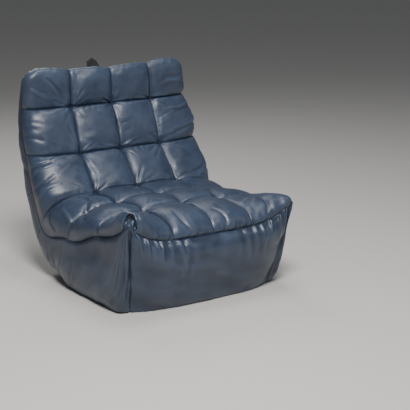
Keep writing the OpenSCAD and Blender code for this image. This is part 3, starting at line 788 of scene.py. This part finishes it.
for node, (points, at, mat, slot, fill) in PANELS.items():
    leather_piece(node, points[at], under_normal[at], under_ridge_and_seam_shade[at], mat, lowest=0.0)


# ---------------------------------------------------------------- strap, sewn ends, zip tapes
TAB_L, V_TAB, GAP = 0.034, 0.075, 0.0003


def panel_frame(v):
    """A point on the rear line, and the directions down the panel and out of it."""
    here = along(REAR_LINE, REAR_ENDS, np.array([v - 0.01, v, v + 0.01]))
    down = unit(here[2] - here[0])
    return (np.array([0, *here[1]]), np.array([0, *down]), np.array([0, -down[1], down[0]]))


def rim_of(m, n):
    """Indices round the edge of a grid of m by n cells."""
    w = n + 1
    rim = [i * w for i in range(m)] + [m * w + j for j in range(n)]
    return rim + [i * w + n for i in range(m, 0, -1)] + [j for j in range(n, 0, -1)]


def slab(name, corner, across, along_it, out, thick, cells, relief, mat, slot, body, *nodes):
    """A closed strip of cloth: its face is a grid from the corner, and relief(s, t) stands on it."""
    m, n = cells
    s, t = np.meshgrid(np.linspace(0, 1, m + 1), np.linspace(0, 1, n + 1), indexing="ij")
    edge = np.minimum.reduce([s * np.linalg.norm(across), (1 - s) * np.linalg.norm(across),
                              t * np.linalg.norm(along_it), (1 - t) * np.linalg.norm(along_it)])
    face = corner + s[..., None] * across + t[..., None] * along_it
    high = thick * (0.45 + 0.55 * np.sqrt(np.clip(edge / (thick * 0.6), 0, 1))) + relief(s, t)
    top = face + out * high[..., None]
    w = n + 1
    count = (m + 1) * w
    quads = grid_quads(m + 1, w)
    turned = np.cross(across, along_it) @ out < 0
    if turned:
        quads = [q[::-1] for q in quads]
    quads += [tuple(count + i for i in q[::-1]) for q in quads]
    rim = rim_of(m, n)
    for a, b in zip(rim, rim[1:] + rim[:1]):
        quads.append((a, b, count + b, count + a) if turned else (b, a, count + a, count + b))
    piece = new_mesh(name, np.concatenate([top.reshape(-1, 3), face.reshape(-1, 3)]), quads)
    piece.data.materials.append(mat)
    for node in nodes:
        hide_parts(node)
    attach(piece, body)
    return piece


def rods(name, runs_of_points, radius, mat, body):
    """Short threads, each a six-sided tube along its points."""
    points, faces = [], []
    for path in runs_of_points:
        path = np.asarray(path, float)
        ahead = unit(np.gradient(path, axis=0))
        side = unit(np.cross(ahead, [0.3, 0.5, 0.81]))
        over = np.cross(ahead, side)
        start = len(points)
        for i in range(len(path)):
            for j in range(6):
                turn = math.radians(60 * j)
                points.append(path[i] + radius * (math.cos(turn) * side[i] + math.sin(turn) * over[i]))
        for i in range(len(path) - 1):
            for j in range(6):
                a, b = start + i * 6 + j, start + i * 6 + (j + 1) % 6
                faces.append((a, b, b + 6, a + 6))
        faces.append(tuple(start + j for j in range(5, -1, -1)))
        faces.append(tuple(start + (len(path) - 1) * 6 + j for j in range(6)))
    piece = new_mesh(name, points, faces)
    piece.data.materials.append(mat)
    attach(piece, body)
    return piece


def stitch_line(a, b, out, pitch=0.0032):
    """Stitches from a to b, each a little arch over the cloth."""
    a, b = np.asarray(a, float), np.asarray(b, float)
    count = max(1, int(round(np.linalg.norm(b - a) / pitch)))
    for i in range(count):
        ends = [a + (b - a) * (i + f) / count for f in (0.10, 0.3, 0.5, 0.7, 0.90)]
        lifts = (-0.0003, 0.0003, 0.0004, 0.0003, -0.0003)
        yield [p + out * h for p, h in zip(ends, lifts)]


def ribs(s, t):
    return 0.00012 * np.cos(2 * np.pi * 13 * s) + 0.00005 * np.cos(2 * np.pi * 22 * t)


def add_strap_ends():
    """The strap's two sewn-down ends on the upper rear panel."""
    at, down, out = panel_frame(V_TAB)
    for name, side in (("strap_tab_left", -1), ("strap_tab_right", 1)):
        x = STRAP_X + side * (STRAP_GAP + STRAP_W) / 2
        corner = at + np.array([x - STRAP_W / 2, 0, 0]) - down * TAB_L / 2 + out * GAP
        across, length = np.array([STRAP_W, 0, 0]), down * TAB_L
        thick = STRAP_T - 0.0002
        slab("webbing_" + name, corner, across, length, out, thick, (40, 44), ribs, WEBBING, "webbing",
             "cushion", name)
        # Sewn down with a box of stitches and both its diagonals
        marks = ((0.13, 0.12), (0.87, 0.12), (0.87, 0.88), (0.13, 0.88))
        box = [corner + across * f + length * g + out * thick for f, g in marks]
        lines = list(zip(box, box[1:] + box[:1])) + [(box[0], box[2]), (box[1], box[3])]
        stitches = [stitch for a, b in lines for stitch in stitch_line(a, b, out)]
        rods("stitches_" + name, stitches, 0.0004, THREAD, "cushion")


LEAN = math.radians(4)
HINGE_UP, HINGE_OUT = TAB_L / 2 + STRAP_T / 2 + GAP, 2 * GAP + 1.5 * STRAP_T


def add_strap():
    """The webbing loop: up the left leg, folded to run down to the right, folded into the right leg."""
    at, down, out = panel_frame(V_TAB)
    foot = at - down * HINGE_UP + out * HINGE_OUT + np.array([STRAP_X, 0, 0])
    up = np.array([0, math.sin(LEAN), math.cos(LEAN)])
    front = np.array([0, -math.cos(LEAN), math.sin(LEAN)])
    a, b = STRAP_GAP / 2, STRAP_GAP / 2 + STRAP_W
    # Each station: the band's left edge x and y, its right edge x and y, and its depth behind the foot
    stations = [(-b, 0.0, -a, 0.0, 0.0)]

    def go(left, right, depth, count, bow=0.0):
        """Adds stations up to this pair of edge points and this depth."""
        l0x, l0y, r0x, r0y, d0 = stations[-1]
        for i in range(1, count + 1):
            f = i / count
            swell = bow * math.sin(math.pi * f)
            stations.append((mix(l0x, left[0], f), mix(l0y, left[1], f), mix(r0x, right[0], f),
                             mix(r0y, right[1], f), mix(d0, depth, f) + swell))

    def turn(left, right, push, depth):
        """A fold: the band turns over its own edge in a half circle."""
        l0x, l0y, r0x, r0y, d0 = stations[-1]
        for angle in (30, 60, 90, 120, 150, 180):
            c, s = math.cos(math.radians(angle)), math.sin(math.radians(angle))
            stations.append((left[0] + push[0] * s, left[1] + push[1] * s, right[0] + push[0] * s,
                             right[1] + push[1] * s, mix(d0, depth, (1 - c) / 2)))

    go((-b, 0.058), (-a, 0.0755), -0.0046, 16)
    turn((-b, 0.058), (-a, 0.0755), (-0.0009, 0.0014), -0.0010)
    go((b, 0.012), (a, 0.0635), -0.0012, 22, -0.0004)
    turn((b, 0.012), (a, 0.0635), (0.0014, 0.0007), 0.0022)
    go((b, 0.0), (a, 0.0), 0.0, 14)
    cols, thick = 14, 0.0024
    f = np.linspace(0, 1, cols + 1)
    lx, ly, rx, ry, depth = np.array(stations).T[..., None, None]
    x, y = mix(lx, rx, f[:, None]), mix(ly, ry, f[:, None])
    mid = foot + x * np.array([1.0, 0, 0]) + y * up - depth * front
    rib = 0.00012 * np.cos(2 * np.pi * 6.5 * f)
    normal = unit(np.cross(np.gradient(mid, axis=1), np.gradient(mid, axis=0)))
    edge = np.minimum(np.arange(cols + 1), cols - np.arange(cols + 1)) / cols
    half = thick / 2 * (0.55 + 0.45 * np.sqrt(np.clip(edge / 0.07, 0, 1)))
    one = mid + normal * (half + rib)[..., None]
    two = mid - normal * (half + rib)[..., None]
    m, w = len(stations) - 1, cols + 1
    count = (m + 1) * w
    quads = [q[::-1] for q in grid_quads(m + 1, w)]
    quads += [tuple(count + i for i in q[::-1]) for q in quads]
    rim = rim_of(m, cols)
    quads += [(p, q, count + q, count + p) for p, q in zip(rim, rim[1:] + rim[:1])]
    points = np.concatenate([one.reshape(-1, 3), two.reshape(-1, 3)])
    piece = new_mesh("webbing_carry_strap", points, quads)
    piece.data.materials.append(WEBBING)
    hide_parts("carry_strap")
    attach(piece, "carry_strap")


TAPE_W, TAPE_T, ROW_GAP, ZIP_SINK = 0.015, 0.0008, 0.0016, 0.008


def add_zip_tapes():
    """The woven tapes behind the zip's slot."""
    at, down, out = panel_frame(V_ZIP)

    def weave(s, t):
        return 0.00005 * np.cos(2 * np.pi * (6 * t + 90 * s)) * np.sign(np.cos(2 * np.pi * 5 * t))

    for name, side in (("zip_tape_upper", -1), ("zip_tape_lower", 1)):
        start = ROW_GAP / 2 + 0.0006 if side > 0 else -ROW_GAP / 2 - 0.0006 - TAPE_W
        corner = at + np.array([-ZIP_L / 2 - 0.010, 0, 0]) + down * start - out * (ZIP_SINK + TAPE_T / 2)
        length = np.array([ZIP_L + 0.020, 0, 0])
        slab("woven_" + name, corner, length, down * TAPE_W, out, TAPE_T - 0.0001, (360, 20), weave,
             FINISHES["zip_tape"], "zip_tape", "cushion", name)


add_strap_ends()
add_strap()
add_zip_tapes()


# ---------------------------------------------------------------- stage
def add_stage():
    mesh = bpy.data.meshes.new("floor")
    size = 40.0
    corners = [(-size, -size, 0), (size, -size, 0), (size, size, 0), (-size, size, 0)]
    mesh.from_pydata(corners, [], [(0, 1, 2, 3)])
    floor = bpy.data.objects.new("floor", mesh)
    bpy.context.scene.collection.objects.link(floor)
    mesh.materials.append(new_material("floor", (0.52, 0.505, 0.48), 0.75))


def add_light(name, place, target, size, power):
    data = bpy.data.lights.new(name, "AREA")
    data.shape = "DISK"
    data.size = size
    data.energy = power
    lamp = bpy.data.objects.new(name, data)
    place, target = np.array(place, float), np.array(target, float)
    ahead = unit(target - place)
    right = unit(np.cross(ahead, [0, 0, 1]))
    lamp.matrix_world = placed(right, np.cross(right, ahead), ahead, place)
    bpy.context.scene.collection.objects.link(lamp)


add_stage()
add_light("window", (-1.4, -2.6, 3.7), (0, 0, 0.5), 1.3, 255)
add_light("overhead", (0.2, -0.2, 3.4), (0, 0, 0.3), 1.5, 35)
add_light("fill", (2.8, -2.6, 1.8), (0, 0, 0.4), 2.0, 10)
add_light("back", (0.5, 3.0, 3.2), (0, 0, 0.6), 2.0, 45)
world = bpy.data.worlds.new("studio")
world.use_nodes = True
world.node_tree.nodes["Background"].inputs[0].default_value = (0.75, 0.78, 0.82, 1)
world.node_tree.nodes["Background"].inputs[1].default_value = 0.19
bpy.context.scene.world = world
